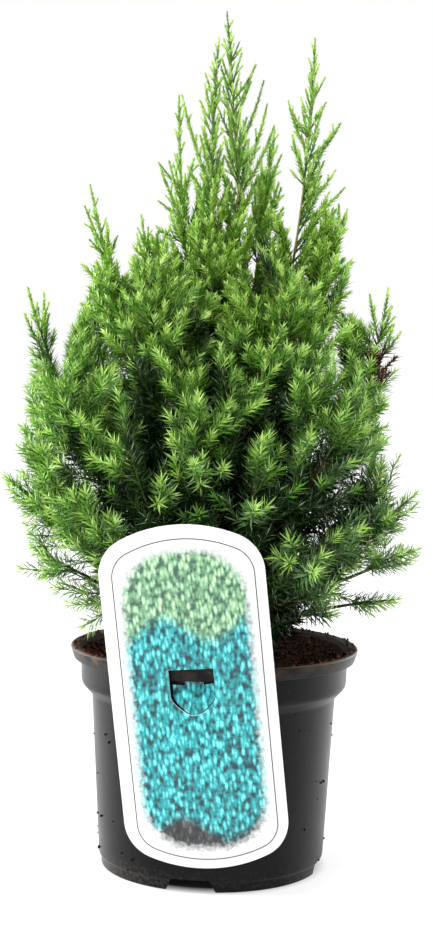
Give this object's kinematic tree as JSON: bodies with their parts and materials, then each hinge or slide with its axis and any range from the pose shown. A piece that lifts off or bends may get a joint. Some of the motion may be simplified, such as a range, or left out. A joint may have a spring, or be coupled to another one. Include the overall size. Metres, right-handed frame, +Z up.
{
  "type": "potted juniper shrub",
  "caption": "Young upright juniper with spreading needle shoots and slim pointed leaders, in a black nursery pot of peat with a printed hang label hooked on its lip.",
  "frame": {"origin": "centre of the pot's foot, on the ground", "axes": "+Z up along the pot's axis, -Y towards the viewer that the label faces, +X to that viewer's right"},
  "size_m": [0.1923, 0.1562, 0.382],
  "materials": {
    "pot": "satin",
    "soil": "rough",
    "label": "satin",
    "bark": "rough",
    "foliage": "matte"
  },
  "bodies": {
    "root": {"bough_back_centre": "bark", "bough_back_left": "bark", "bough_back_low_left": "bark", "bough_back_low_right": "bark", "bough_back_right": "bark", "bough_base_right": "bark", "bough_far_left": "bark", "bough_far_right": "bark", "bough_front_centre": "bark", "bough_front_left": "bark", "bough_front_low_left": "bark", "bough_front_low_right": "bark", "bough_front_right": "bark", "bough_front_side_left": "bark", "bough_front_side_right": "bark", "bough_leader_left": "bark", "bough_leader_right": "bark", "bough_low_left": "bark", "bough_low_right": "bark", "bough_shoulder_left": "bark", "bough_side_left": "bark", "bough_side_right": "bark", "bough_upper_right": "bark", "label": "label", "mass_back_centre": "foliage", "mass_back_left": "foliage", "mass_back_low_left": "foliage", "mass_back_low_right": "foliage", "mass_back_right": "foliage", "mass_back_upper_left": "foliage", "mass_back_upper_right": "foliage", "mass_base_right": "foliage", "mass_far_left": "foliage", "mass_far_right": "foliage", "mass_front_centre": "foliage", "mass_front_left": "foliage", "mass_front_low_left": "foliage", "mass_front_low_right": "foliage", "mass_front_right": "foliage", "mass_front_side_left": "foliage", "mass_front_side_right": "foliage", "mass_front_upper_left": "foliage", "mass_front_upper_right": "foliage", "mass_inner_right": "foliage", "mass_leader_left": "foliage", "mass_leader_main": "foliage", "mass_leader_mid": "foliage", "mass_leader_right": "foliage", "mass_leader_second": "foliage", "mass_leader_third": "foliage", "mass_low_left": "foliage", "mass_low_right": "foliage", "mass_shoulder_left": "foliage", "mass_side_left": "foliage", "mass_side_right": "foliage", "mass_upper_right": "foliage", "pot": "pot", "soil": "soil", "trunk": "bark"}
  },
  "joints": []
}
